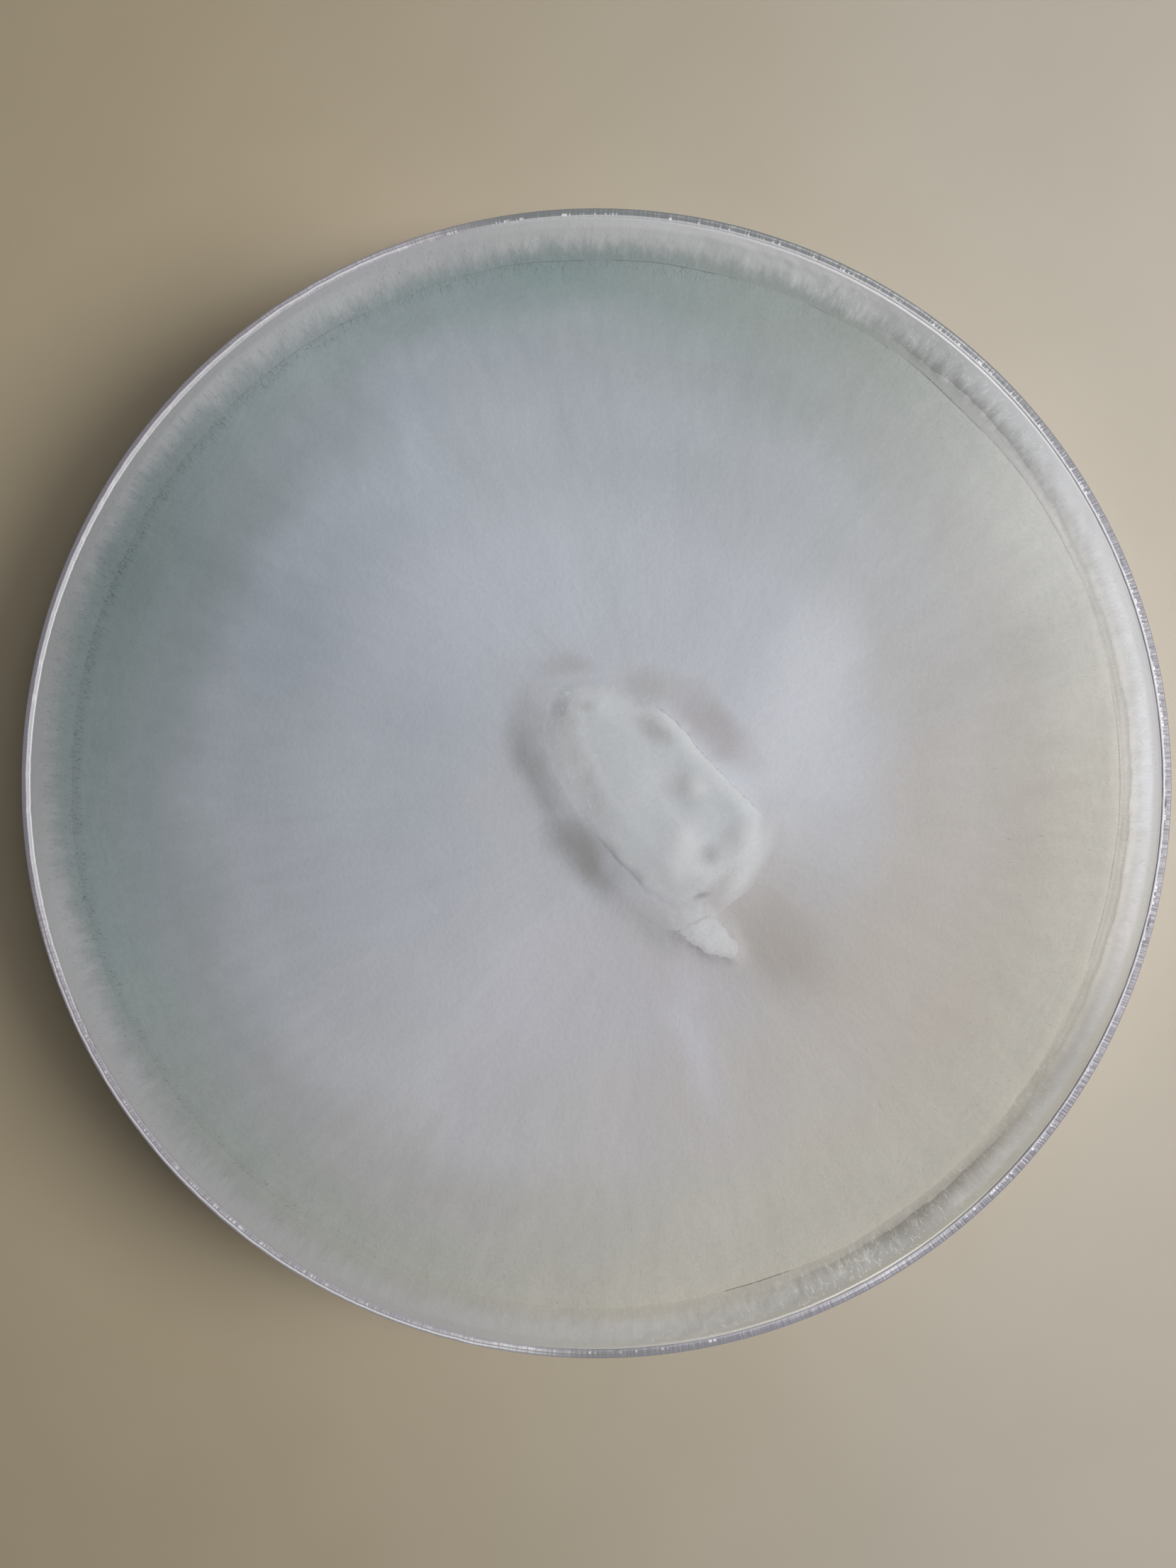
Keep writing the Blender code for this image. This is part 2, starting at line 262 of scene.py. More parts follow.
class Graph:
    """Builds a material's nodes. Its methods take values or plain numbers and tuples."""

    def __init__(self, name):
        self.material = bpy.data.materials.new(name)
        self.material.use_nodes = True
        self.tree = self.material.node_tree
        nodes = self.tree.nodes
        self.shader, self.output = nodes["Principled BSDF"], nodes["Material Output"]
        self.place = self.make("ShaderNodeTexCoord", {}, "Object", wide=True)

    def feed(self, socket, value):
        if isinstance(value, Value):
            self.tree.links.new(value.socket, socket)
        elif isinstance(value, tuple) and socket.type == "RGBA":
            socket.default_value = (*value, 1)
        else:
            socket.default_value = value

    def make(self, kind, sockets, output=0, wide=False, **settings):
        """A node with its inputs fed, by name or number, and its settings set. Gives one of its outputs."""
        made = self.tree.nodes.new(kind)
        for key, setting in settings.items():
            setattr(made, key, setting)
        for key, value in sockets.items():
            self.feed(made.inputs[key], value)
        return Value(self, made.outputs[output], wide)

    def join(self, x, y, z):
        return self.make("ShaderNodeCombineXYZ", {0: x, 1: y, 2: z}, wide=True)

    def mix(self, amount, first, second, blend="MIX"):
        sockets = {0: amount, 6: first, 7: second}
        return self.make("ShaderNodeMix", sockets, 2, wide=True, data_type="RGBA", blend_type=blend)

    def noise(self, vector, scale, detail=2.0, roughness=0.5, output=0):
        sockets = {"Vector": vector, "Scale": scale, "Detail": detail, "Roughness": roughness}
        return self.make("ShaderNodeTexNoise", sockets, output, wide=output != 0)

    def streaks(self, way, fine, along, stretch, detail, roughness):
        """Noise drawn out along a direction: fine round the turn, and stretch along it."""
        return self.noise(way * fine + self.join(0.0, 0.0, along * stretch), 1.0, detail, roughness)

    def round_ramp(self, turn, stops):
        """A colour by angle, that closes on itself. A stop is degrees, then three hundredths."""
        made = self.make("ShaderNodeValToRGB", {0: turn}, wide=True)
        elements = made.socket.node.color_ramp.elements
        while len(elements) > 1:
            elements.remove(elements[-1])
        elements[0].position = 0
        for degrees, *_ in [*stops[1:], (360,)]:
            elements.new(degrees / 360)
        for element, (_, *colour) in zip(elements, [*stops, stops[0]], strict=True):
            element.color = (*(level / 100 for level in colour), 1)
        return made

    def round_level(self, turn, stops):
        """A number by angle. A stop is degrees, then hundredths."""
        made = self.round_ramp(turn, [(degrees, level, level, level) for degrees, level in stops])
        return Value(self, made.socket, False)

    def bump(self, height, strength, distance, lean=0.0):
        """A relief, on a normal that leans up by lean.

        Loose hairs that lean catch the light from above much as level felt does.
        """
        sockets = {"Strength": strength, "Distance": distance, "Height": height}
        if lean:
            sockets["Normal"] = self.leaning(lean)
            # The correction would darken leaning normals where light grazes
            self.material.cycles.use_bump_map_correction = False
        return self.make("ShaderNodeBump", sockets, wide=True)

    def leaning(self, lean):
        """The surface's own normal, turned up by a share, or down by a negative one."""
        own = self.make("ShaderNodeNewGeometry", {}, "Normal", wide=True)
        return (own * (1 - abs(lean)) + (0, 0, lean)).unit()

    def set(self, **values):
        """Sets the shader's sockets: base_color stands for Base Color, and so on."""
        names = {s.name.lower().replace(" ", "_"): s for s in self.shader.inputs}
        for key, value in values.items():
            self.feed(names[key], value)

    def shaded(self):
        return Value(self, self.shader.outputs[0], False)

    def blend(self, amount, first, second):
        return self.make("ShaderNodeMixShader", {0: amount, 1: first, 2: second})

    def let_lamps_through(self, surface, tint=(1, 1, 1), share=None):
        """Finishes the material: a lamp's light, or a share of it, goes through it to what is behind it."""
        lamp = self.make("ShaderNodeLightPath", {}, "Is Shadow Ray")
        through = self.make("ShaderNodeBsdfTransparent", {"Color": tint})
        whole = self.blend(lamp if share is None else lamp * share, surface, through)
        self.feed(self.output.inputs["Surface"], whole)
        return self.material


# --- Colours of the colony ---
# Colours round the colony, by angle in degrees and in hundredths, for rings ever further from the middle
MIDDLE = [(0, 60, 62, 68), (60, 55, 58, 64), (120, 59, 63, 71), (160, 50, 54, 61), (210, 52, 55, 61),
          (245, 59, 60, 66), (300, 54, 53, 56), (330, 52, 51, 52)]
FIELD = [(0, 52, 50, 49), (40, 51, 53, 56), (75, 48, 52, 57), (120, 54, 59, 66), (150, 41, 46, 52),
         (200, 47, 50, 55), (245, 57, 58, 62), (300, 54, 52, 51), (325, 52, 49, 46)]
OUTER = [(0, 48, 46, 43), (30, 52, 52, 52), (65, 40, 44, 45), (115, 46, 51, 57), (150, 30, 35, 37),
         (195, 35, 39, 42), (240, 48, 48, 49), (290, 54, 53, 49), (325, 50, 47, 43)]
RING = [(0, 51, 49, 45), (30, 56, 56, 55), (60, 38, 41, 40), (95, 31, 38, 39), (125, 38, 43, 46),
        (155, 25, 30, 31), (200, 33, 38, 39), (275, 52, 50, 46), (325, 49, 47, 43)]
FOOT = [(0, 60, 58, 54), (35, 56, 56, 55), (60, 38, 41, 40), (95, 30, 36, 37), (125, 36, 41, 43),
        (155, 24, 29, 30), (200, 31, 35, 36), (275, 51, 49, 44), (325, 50, 48, 43)]
# White of the thin margin on the wall, by angle, greyer at the left. Its peaks near white at 45 and 300
# degrees are painted light, filling the dip in shading where the lamp grazes the wall
MARGIN_WHITE_AND_LIGHT = [(0, 64, 65, 67), (15, 65, 66, 67), (30, 72, 73, 74), (45, 93, 95, 96), (60, 81, 83, 84),
          (75, 60, 62, 63), (90, 57, 58.5, 59.5), (105, 52, 53.5, 55.5), (120, 55, 57.5, 60),
          (135, 51, 53, 55), (150, 41, 43, 45), (165, 35.5, 37, 38.5), (180, 39, 40.5, 42), (195, 47, 48, 50),
          (225, 44, 45, 46.5), (255, 51, 51, 51), (270, 56.5, 56, 55), (285, 65, 64, 61), (300, 93, 92, 88),
          (315, 58, 57, 55), (330, 47, 46.5, 45), (345, 60, 59.5, 59)]
# The thin film at its top lets the bench's colour through at the lower right. Its peaks near white from 45 to
# 60 degrees and at 300 are painted light where the lamp grazes the wall
FILM_AND_LIGHT = [(0, 54, 54, 54), (15, 58, 58.5, 59), (30, 70, 71, 72), (45, 93, 95, 96), (60, 93, 95, 96),
        (75, 73, 75, 76), (90, 62, 64, 65), (105, 54, 56, 58), (120, 50, 51.5, 53.5), (135, 43, 44.5, 46),
        (150, 38.5, 39.5, 40.5), (165, 37, 38, 39), (180, 39, 40, 41), (195, 46, 47, 48), (225, 46, 46.5, 47),
        (255, 47.5, 47.5, 47), (270, 55, 54, 51), (285, 71, 69, 64), (300, 93, 91, 83), (315, 50, 49, 44),
        (330, 46, 44.5, 40), (345, 52.5, 51.5, 49)]
# Share of the collar's light that comes in from behind: nearly all where the lamp stands behind it
BEHIND = [(0, 90), (18, 90), (31, 80), (46, 50), (61, 0), (286, 0), (301, 30), (314, 90)]
CORE = (0.55, 0.57, 0.62)
# Rings that follow one another outwards, and from where to where each comes in, in millimetres
ZONES = [(MIDDLE, 6, 14), (FIELD, 19, 27), (OUTER, 29, 35.5)]
RING_REACH, FOOT_REACH = (35.5, 40.5), (40.6, 42.4)
# The white margin begins and is full at these distances, out plus a quarter of those up the wall
MARGIN_REACH = (42.1, 44.2)
# How much sooner it begins, by angle: 50 is no shift and 100 is SOONER millimetres
MARGIN_SHIFT = [(0, 50), (45, 50), (85, 60), (118, 75), (145, 35), (180, 35), (198, 70), (235, 40), (258, 65),
                (300, 50)]
SOONER = 0.9

# Soft patches: x, y, half length, half width, degrees, colour, amount. Most are thicker, thinner or stained
# felt; the dark ones beside the block are painted shadow and painted shade
FELT_PATCHES_AND_SHADOWS = [
    (16.5, 7.0, 9.5, 5.0, 72, (0.655, 0.68, 0.745), 0.85),
    # Painted shadow of the block, along its left side and beside the tuft
    (-4.8, 1.8, 5.4, 1.9, -77, (0.38, 0.39, 0.41), 0.9),
    (-0.8, -5.4, 5.6, 2.4, -52, (0.33, 0.33, 0.34), 0.95),
    (4.1, -11.6, 3.6, 1.7, -45, (0.45, 0.45, 0.47), 0.7),
    # Painted shade in the hollow along the block's upper right side
    (4.6, 7.4, 2.8, 2.0, -20, (0.46, 0.46, 0.47), 0.65),
    (9.5, 4.2, 5.4, 1.6, -46, (0.45, 0.43, 0.45), 0.75),
    # Greyer, browner and bluer felt
    (-2.0, 9.3, 2.8, 1.4, 0, (0.47, 0.48, 0.49), 0.65),
    (15.0, -13.0, 6.5, 4.2, -35, (0.43, 0.40, 0.37), 0.7),
    (8.0, -20.5, 6.5, 2.2, -80, (0.62, 0.62, 0.68), 0.7),
]

# The felt over the block is white from COVERED heights. Its brighter ridges and greyer hollows are painted:
# painted highlight on its bumps and painted shade in its dimples
BLOCK_WHITE = (0.62, 0.645, 0.675)
COVERED = (MAT_LEVEL + 0.4, MAT_LEVEL + 1.25)
RIDGE_HIGHLIGHT, HOLLOW_SHADE = (0.70, 0.72, 0.75), (0.46, 0.47, 0.49)
BLOCK_SHADING_AND_TUFT_MARKS = [
    # Painted light on the block's shaded left flank
    (-1.6, 2.0, 4.6, 1.5, -79, (0.68, 0.70, 0.73), 0.6),
    # Painted highlight on bumps and painted shade in dimples, the thin dark slit among them
    (6.2, -0.4, 1.9, 1.5, 0, HOLLOW_SHADE, 0.35),
    (7.9, -0.2, 1.3, 0.9, 80, RIDGE_HIGHLIGHT, 0.8),
    (6.5, -5.0, 2.8, 1.5, 75, RIDGE_HIGHLIGHT, 0.8),
    (8.7, -5.7, 1.3, 1.1, 20, HOLLOW_SHADE, 0.6),
    (10.6, -4.6, 2.4, 1.6, 60, HOLLOW_SHADE, 0.3),
    (7.4, -8.1, 1.9, 1.2, 20, HOLLOW_SHADE, 0.4),
    (8.4, -8.9, 0.9, 0.3, 15, (0.34, 0.34, 0.36), 0.7),
    (12.1, -6.6, 4.4, 1.2, 62, RIDGE_HIGHLIGHT, 0.8),
    (-1.0, 6.1, 0.8, 0.6, 0, HOLLOW_SHADE, 0.5),
    (4.6, 4.2, 2.0, 1.1, -30, HOLLOW_SHADE, 0.6),
    # Whiter felt of the tuft
    (9.1, -12.1, 4.0, 2.0, -35, (0.70, 0.715, 0.74), 0.85),
]
RAGGED_PATCH, RAGGED_MARK = 0.35, 0.3


class Colony:
    """The colony's colour in a material's graph, from Object coordinates, and the noises it is made of."""

    def __init__(self, graph):
        self.graph = graph
        place = graph.place * (1 / MM)
        x, y, self.height = place.split()
        self.flat = graph.join(x, y, 0.0)
        self.radius = self.flat.length()
        from_block = self.flat - (*BLOCK_CENTRE.tolist(), 0.0)
        self.from_block, along = from_block.length(), from_block.unit()
        self.streak = graph.streaks(along, 4.5, self.from_block, 0.05, 3.0, 0.6)
        self.fibre = graph.streaks(along, 26.0, self.from_block, 0.22, 4.0, 0.65)
        self.hair = graph.streaks(self.flat.unit(), 60.0, self.radius, 0.9, 4.0, 0.7)
        self.cloud = graph.noise(self.flat, 0.16, 3.0, 0.55)
        self.lint = graph.noise(place, 2.6, 4.0, 0.65)
        turn = y.operate("ARCTAN2", x) * (0.5 / math.pi)
        self.turn = (turn + 1.0).operate("FRACT")
        self.streaky_turn = (self.turn + ((self.streak - 0.5) * 0.06 + 1.0)).operate("FRACT")

    def colour(self, marks=()):
        mix, ramp = self.graph.mix, self.graph.round_ramp
        reach = self.radius.spread(self.streak, 7.0).spread(self.cloud, 4.0)
        shade = CORE
        for zone, low, high in ZONES:
            shade = mix(reach.rise(low, high), shade, ramp(self.streaky_turn, zone))
        shade = mix(reach.rise(*RING_REACH), shade, ramp(self.turn, RING))
        shade = mix(self.radius.rise(*FOOT_REACH), shade, ramp(self.turn, FOOT))
        drift = (self.graph.noise(self.flat, 0.14, output="Color") - (0.5, 0.5, 0.5)) * 5.0
        shade = self.patched(shade, self.flat + drift, FELT_PATCHES_AND_SHADOWS, RAGGED_PATCH)
        light = (self.streak - 0.5) * self.from_block.rise(5, 20, 0.02, 0.12) + 1.0
        light = light.spread(self.fibre, self.from_block.rise(12, 36, 0.02, 0.16)).spread(self.lint, 0.12)
        covered = self.height.spread(self.lint, 0.4).rise(*COVERED) * self.from_block.rise(20, 17)
        shade = mix(covered, shade, BLOCK_WHITE)
        return self.patched(shade, self.flat, marks, RAGGED_MARK) * light

    def patched(self, shade, where, patches, ragged):
        """A colour with soft ellipses of other colours laid over it."""
        for x, y, long, wide, turn, tint, amount in patches:
            sockets = {"Vector": where, "Location": (x, y, 0), "Rotation": (0, 0, math.radians(turn))}
            sockets["Scale"] = (long, wide, 1000)  # height hardly counts
            local = self.graph.make("ShaderNodeMapping", sockets, wide=True, vector_type="TEXTURE")
            inside = local.length().spread(self.streak, ragged).rise(1.25, 0.1, 0.0, amount)
            shade = self.graph.mix(inside, shade, tint)
        return shade

    def edged(self, colour, white=None):
        """A colour that turns into the white hairy margin, from the mat's edge and up the wall."""
        climb = (self.height - MAT_LEVEL) * 0.25
        reach = (self.radius + climb).spread(self.hair, 2.4)
        reach = reach.spread(self.graph.round_level(self.turn, MARGIN_SHIFT), 2 * SOONER)
        white = white or self.graph.round_ramp(self.turn, MARGIN_WHITE_AND_LIGHT)
        return self.graph.mix(reach.rise(*MARGIN_REACH), colour, white)


# --- Materials of the colony ---
RELIEF = 0.00012  # depth of the felt's bumps, in metres


def matt(graph, colour, grain, relief, roughness=(0.85, 1.0), specular=0.15):
    """Sets a shader for dull felt, a little rougher where its grain stands up."""
    graph.set(base_color=colour, roughness=grain.rise(0.3, 0.7, *roughness))
    graph.set(normal=relief, specular_ior_level=specular)


def felt_material():
    graph = Graph("mycelium_felt")
    colony = Colony(graph)
    relief = graph.bump(colony.fibre * 0.6 + colony.lint, 0.35, RELIEF)
    matt(graph, colony.edged(colony.colour()), colony.lint, relief)
    graph.set(sheen_weight=0.15)
    return graph.material


def spore_material():
    """The same felt, dusted with grey-green spore grains where it bears them."""
    graph = Graph("spore_dusted_felt")
    colony = Colony(graph)
    grain = graph.noise(graph.place, 4200.0, 3.0, 0.7)
    colour = colony.colour()
    amount = grain.rise(0.45, 0.62, 0.0, 0.8) * colony.radius.rise(33, 40)
    dusty = graph.mix(amount, colour, colour * (0.93, 0.98, 0.96))
    matt(graph, colony.edged(dusty), grain, graph.bump(colony.fibre * 0.5 + grain * 0.8, 0.35, RELIEF))
    graph.set(sheen_weight=0.1)
    return graph.material


def web(graph, colour, lean, behind, passes):
    """Makes a material a thin web of hairs, lit from either side, that lets part of a lamp's light by.

    The light from behind leans down as far as the shader's own normal leans up, to catch a lamp above.
    """
    back = graph.make("ShaderNodeBsdfTranslucent", {"Color": colour, "Normal": graph.leaning(-lean)})
    return graph.let_lamps_through(graph.blend(behind, graph.shaded(), back), share=passes)


def collar_material():
    graph = Graph("wall_mycelium")
    colony = Colony(graph)
    lean = 0.75
    white = graph.round_ramp(colony.turn, MARGIN_WHITE_AND_LIGHT) * colony.hair.rise(0.25, 0.75, 0.95, 1.03)
    colour = colony.edged(colony.colour(), white)
    # Painted light: at the lamp's side the collar's foot is up to a quarter lighter in colour, to fill the
    # dark band where the lamp grazes it
    side = colony.flat.split()[0]
    foot = colony.radius.band(41.95, 42.15, 42.4, 42.75) * side.rise(30, 38, 0.0, 0.25)
    film_share = colony.height.spread(colony.hair, 1.0).rise(RIM_HEIGHT - 2.6, RIM_HEIGHT - 1.4)
    colour = graph.mix(film_share, colour * (foot + 1.0), graph.round_ramp(colony.turn, FILM_AND_LIGHT))
    matt(graph, colour, colony.lint, graph.bump(colony.hair + colony.lint, 0.3, RELIEF, lean))
    # It is thinner at the right, where more light comes through it
    return web(graph, colour, lean, graph.round_level(colony.turn, BEHIND), side.rise(-30, -5, 0.45, 1.0))


def block_material(name):
    """Loose white felt, lit through a little."""
    graph = Graph(name)
    colony = Colony(graph)
    matt(graph, colony.colour(BLOCK_SHADING_AND_TUFT_MARKS), colony.lint, graph.bump(colony.lint, 0.3, RELIEF, 0.6))
    graph.shader.subsurface_method = "RANDOM_WALK"
    loose = colony.height.rise(MAT_LEVEL + 0.3, MAT_LEVEL + 1.0, 0.0, 0.7)
    graph.set(sheen_weight=0.15, subsurface_weight=loose, subsurface_scale=0.0008)
    graph.set(subsurface_radius=(1.0, 1.0, 1.0))
    return graph.material


def hypha_material():
    """Loose hairs: white at the wall, and the colony's own colour, a little paler, inside."""
    graph = Graph("aerial_hyphae")
    colony = Colony(graph)
    lean = 0.8
    colour = colony.edged(colony.colour() * 1.1)
    relief = graph.bump(colony.lint, 0.05, 0.00005, lean)
    matt(graph, colour, colony.lint, relief, (0.7, 0.9), 0.1)
    return web(graph, colour, lean, 0.12, 0.7)


# --- Gel and plastic ---
AGAR_IOR, POLYSTYRENE_IOR = 1.34, 1.59


def gel_material():
    """Clear straw-coloured agar, faintly cloudy."""
    graph = Graph("agar_gel")
    cloud = graph.noise(graph.place, 140.0, 3.0)
    graph.set(base_color=graph.mix(cloud, (0.86, 0.74, 0.46), (0.90, 0.80, 0.56)), ior=AGAR_IOR)
    graph.set(transmission_weight=0.55, roughness=cloud.rise(0.3, 0.7, 0.16, 0.28))
    graph.set(normal=graph.bump(cloud, 0.1, 0.0005))
    return graph.let_lamps_through(graph.shaded(), (0.80, 0.72, 0.52))


def plastic_material():
    """Clear moulded polystyrene with faint scuffs and a trace of haze."""
    graph = Graph("clear_polystyrene")
    scuffs = graph.noise(graph.place * (900, 900, 300), 1.0, 4.0, 0.6)
    wear = scuffs * graph.noise(graph.place * (250, 2600, 400), 1.0, 3.0, 0.7)
    graph.set(base_color=graph.mix(scuffs, (0.95, 0.96, 0.98), (0.97, 0.97, 0.98)), ior=POLYSTYRENE_IOR)
    graph.set(transmission_weight=1.0, roughness=wear.rise(0.15, 0.45, 0.02, 0.12))
    graph.set(normal=graph.bump(scuffs, 0.04, 0.0002))
    haze = graph.mix(scuffs, (0.78, 0.78, 0.82), (0.84, 0.84, 0.87))
    milky = graph.make("ShaderNodeBsdfPrincipled", {"Base Color": haze, "Roughness": 0.35})
    surface = graph.blend(wear.rise(0.12, 0.5, 0.03, 0.12), graph.shaded(), milky)
    return graph.let_lamps_through(surface, (0.97, 0.97, 0.98))


# The rim's frosted band by angle. Its greys are a painted reflection, darker at the right and paler at the
# left
RIM_FROST_AND_REFLECTION = [(0, 19, 18, 23), (30, 25, 25, 30), (50, 26, 27, 29), (98, 27, 29, 30), (108, 42, 40, 45),
            (140, 33, 31, 36), (185, 30, 28, 33), (205, 40, 38, 43), (262, 42, 41, 44), (270, 30, 30, 32),
            (292, 32, 31, 36), (330, 20, 19, 24)]
# How strongly the rim's painted highlights show: the lines along its inner and outer rounded edges, and its
# inner corner
RIM_HIGHLIGHTS = [(0, 0, 0, 80), (30, 10, 10, 80), (50, 10, 50, 70), (75, 10, 40, 55), (98, 10, 10, 50),
             (106, 30, 40, 20), (118, 90, 50, 30), (150, 100, 0, 80), (185, 100, 0, 80), (197, 40, 60, 60),
             (207, 30, 100, 10), (250, 30, 100, 10), (262, 50, 60, 10), (272, 10, 0, 10), (288, 20, 10, 35),
             (300, 50, 40, 40), (314, 20, 10, 40), (345, 0, 0, 65)]


def rim_material():
    """The rim's cut edge: frosted, with painted highlight lines along its two rounded edges that come and go,
    and painted glints at its chips.
    """
    graph = Graph("frosted_rim")
    colony = Colony(graph)
    across = colony.radius.rise(RIM_RADIUS - RIM_WIDTH, RIM_RADIUS)
    outward = colony.flat.unit()
    slow = graph.noise(outward * 26.0, 1.0, 3.0, 0.6)
    fast = graph.noise(outward * 220.0, 1.0, 2.0, 0.6)
    line = across.spread(slow, 0.3)
    inner, outer, corner = graph.round_ramp(colony.turn, RIM_HIGHLIGHTS).split()
    # Painted glints in spots along the inner edge
    glints = fast.rise(0.50, 0.56) * slow.rise(0.48, 0.56)
    inner = inner.spread(fast, 0.6).rise(0.1, 0.7).most(glints) * line.band(0.03, 0.12, 0.38, 0.48)
    outer = outer.spread(fast, 0.6).rise(0.2, 0.8) * line.band(0.58, 0.68, 0.84, 0.92)
    # Painted highlights along the rounded edges and at the inner corner
    painted_highlight = inner.most(outer).most(corner * across.rise(0.17, 0.11))
    band = graph.round_ramp(colony.turn, RIM_FROST_AND_REFLECTION)
    graph.set(base_color=graph.mix(painted_highlight, band, (0.92, 0.92, 0.97)), ior=POLYSTYRENE_IOR)
    graph.set(roughness=fast.rise(0.3, 0.7, 0.18, 0.45), normal=graph.bump(slow + fast, 0.35, 0.0001, 0.5))
    return graph.let_lamps_through(graph.shaded(), (0.92, 0.92, 0.94))


# --- Shape of the colony ---
# The block's outline in its own frame is this polygon, counter-clockwise, grown by FELT_ROUND all round
FELT_CORE = [
    (5.6, -2.9), (5.8, 2.2), (-4.4, 1.4), (-8.2, 0.3), (-9.0, -0.6), (-8.2, -1.5), (-6.0, -2.5), (-2.0, -3.1),
]
FELT_ROUND = 3.0
PLUG_CORNERS = [(6.7, -4.6), (6.6, 3.9), (-4.6, 3.2), (-9.4, 1.0), (-8.2, -3.8)]
FAR = 1e9


def to_block(x, y):
    """Coordinates in the block's frame: u along it, to its lower end, and v to its upper right side."""
    dx, dy = x - BLOCK_CENTRE[0], y - BLOCK_CENTRE[1]
    along = dx * math.cos(BLOCK_TURN) + dy * math.sin(BLOCK_TURN)
    across = dy * math.cos(BLOCK_TURN) - dx * math.sin(BLOCK_TURN)
    return along, across


def of_block(u, v):
    """The dish's coordinates of a place in the block's frame."""
    x = BLOCK_CENTRE[0] + u * math.cos(BLOCK_TURN) - v * math.sin(BLOCK_TURN)
    y = BLOCK_CENTRE[1] + u * math.sin(BLOCK_TURN) + v * math.cos(BLOCK_TURN)
    return x, y


def sides(corners):
    """Pairs of neighbouring corners, all round an outline."""
    return zip(corners, corners[1:] + corners[:1], strict=True)


def outline_distance(u, v, corners):
    """Signed distance to a convex outline: negative inside."""
    inside, nearest = np.full(np.shape(u), -FAR), np.full(np.shape(u), FAR)
    for (ax, ay), (bx, by) in sides(corners):
        ex, ey = bx - ax, by - ay
        length = math.hypot(ex, ey)
        inside = np.maximum(inside, ((u - ax) * ey - (v - ay) * ex) / length)
        t = np.clip(((u - ax) * ex + (v - ay) * ey) / length**2, 0, 1)
        nearest = np.minimum(nearest, np.hypot(u - ax - t * ex, v - ay - t * ey))
    return np.where(inside < 0, inside, nearest)


def hill(u, v, along, across, radius):
    """A round hump, 1 high."""
    return np.exp(-(((u - along) ** 2 + (v - across) ** 2) / radius**2))


def mat_height(x, y):
    """Height of the felt away from the block, with low radial swells that run out from the block."""
    dx, dy = x - BLOCK_CENTRE[0], y - BLOCK_CENTRE[1]
    from_block = np.hypot(dx, dy)
    swell = round_noise(np.arctan2(dy, dx), from_block * 0.02, SEED + 1, 26, 3)
    broad = fractal(x / 11, y / 11, SEED + 2, 3)
    fine = fractal(x / 0.9, y / 0.9, SEED + 3, 3)
    height = MAT_LEVEL + 0.10 * swell * smooth(6, 30, from_block) + 0.12 * broad + 0.018 * fine
    trench = np.exp(-(((from_block - 11.5) / 4.5) ** 2))
    return height - 0.12 * trench


def spore_thickness(x, y):
    """How far the spore-bearing layer stands over the mat. Below zero it dips under it."""
    radius, angle = np.hypot(x, y), np.arctan2(y, x)
    ragged = 0.35 * round_noise(angle, 0, SEED + 5, 240, 3) + 0.25 * round_noise(angle, 3, SEED + 6, 60)
    body = smooth(27, 37, radius) * (1 - smooth(40.9 + ragged, 42.5 + ragged, radius))
    grain = fractal(x / 0.35, y / 0.35, SEED + 7, 2)
    return -0.02 + 0.07 * body + 0.025 * grain * body


# Bumps and dimples on the felt over the block: along, across, radius, height in millimetres
FELT_RELIEF = [
    (-10.6, -0.9, 1.8, 0.22), (-9.4, -0.2, 0.8, -0.22), (-7.0, 1.4, 1.4, -0.20), (-4.4, 2.8, 1.3, -0.30),
    (-3.6, -1.6, 3.0, 0.25), (0.1, 1.2, 1.5, -0.55), (1.3, 2.6, 1.0, 0.42), (1.6, 0.5, 1.0, -0.25),
    (3.6, -0.9, 1.3, 0.45), (4.7, -2.5, 1.5, 0.42), (4.4, 3.0, 1.9, -0.22), (5.8, -0.3, 0.9, -0.65),
    (6.3, 1.6, 1.6, -0.32), (6.9, -3.1, 1.1, -0.35), (8.1, -2.6, 0.6, -0.55), (7.4, 3.9, 1.3, 0.32),
    (8.6, 1.8, 1.3, 0.38), (9.0, -0.4, 1.0, 0.30),
]


def block_distance(u, v):
    """Distance to the block's outline, in its own frame: negative on the block."""
    wobble = 0.25 * fractal(u / 3.0, v / 3.0, SEED + 11, 2)
    return outline_distance(u, v, FELT_CORE) - FELT_ROUND + wobble


def block_rise(x, y):
    """Height of the felted block over the mat, with a soft skirt round it."""
    u, v = to_block(x, y)
    distance = block_distance(u, v)
    # Parts of the long sides are cut clean. The upper end is a soft mound, and the lower end slopes.
    right = 0.95 * smooth(-1, 2, v) * smooth(-7.0, -4.2, u) * (1 - smooth(4.4, 7.4, u))
    left = 0.5 * smooth(-1, 2, -v) * smooth(-2.6, 0.2, u) * (1 - smooth(3.6, 6.4, u)) * (1 - right)
    clean = np.maximum(right, 0.6 * left)
    hard_in = np.clip(-distance / 1.3, 0, 1)
    slope = smooth(0, FELT_ROUND, -distance) * (1 - right - left) + hard_in * (2 - hard_in) * left
    slope = slope + np.sqrt(1 - (1 - hard_in) ** 2) * right
    relief = sum(height * hill(u, v, along, across, radius) for along, across, radius, height in FELT_RELIEF)
    relief = 1.15 * relief + 0.10 * fractal(u / 1.9, v / 1.9, SEED + 12, 3)
    skirt = (0.55 - 0.30 * clean) * np.exp(-np.clip(distance, 0, None) / (2.0 - 1.0 * clean))
    top = BLOCK_RISE - 0.95 - 0.15 * smooth(-4, -11, u)
    return skirt + top * slope + relief * smooth(0.2, 2.8, -distance)


# The tuft runs along a short curve out of the block's lower end: along, across, radius
TUFT_PATH = [(7.8, -3.6, 1.5), (9.0, -4.3, 1.4), (10.3, -4.4, 1.4), (11.5, -4.1, 1.25), (12.6, -3.7, 1.05)]


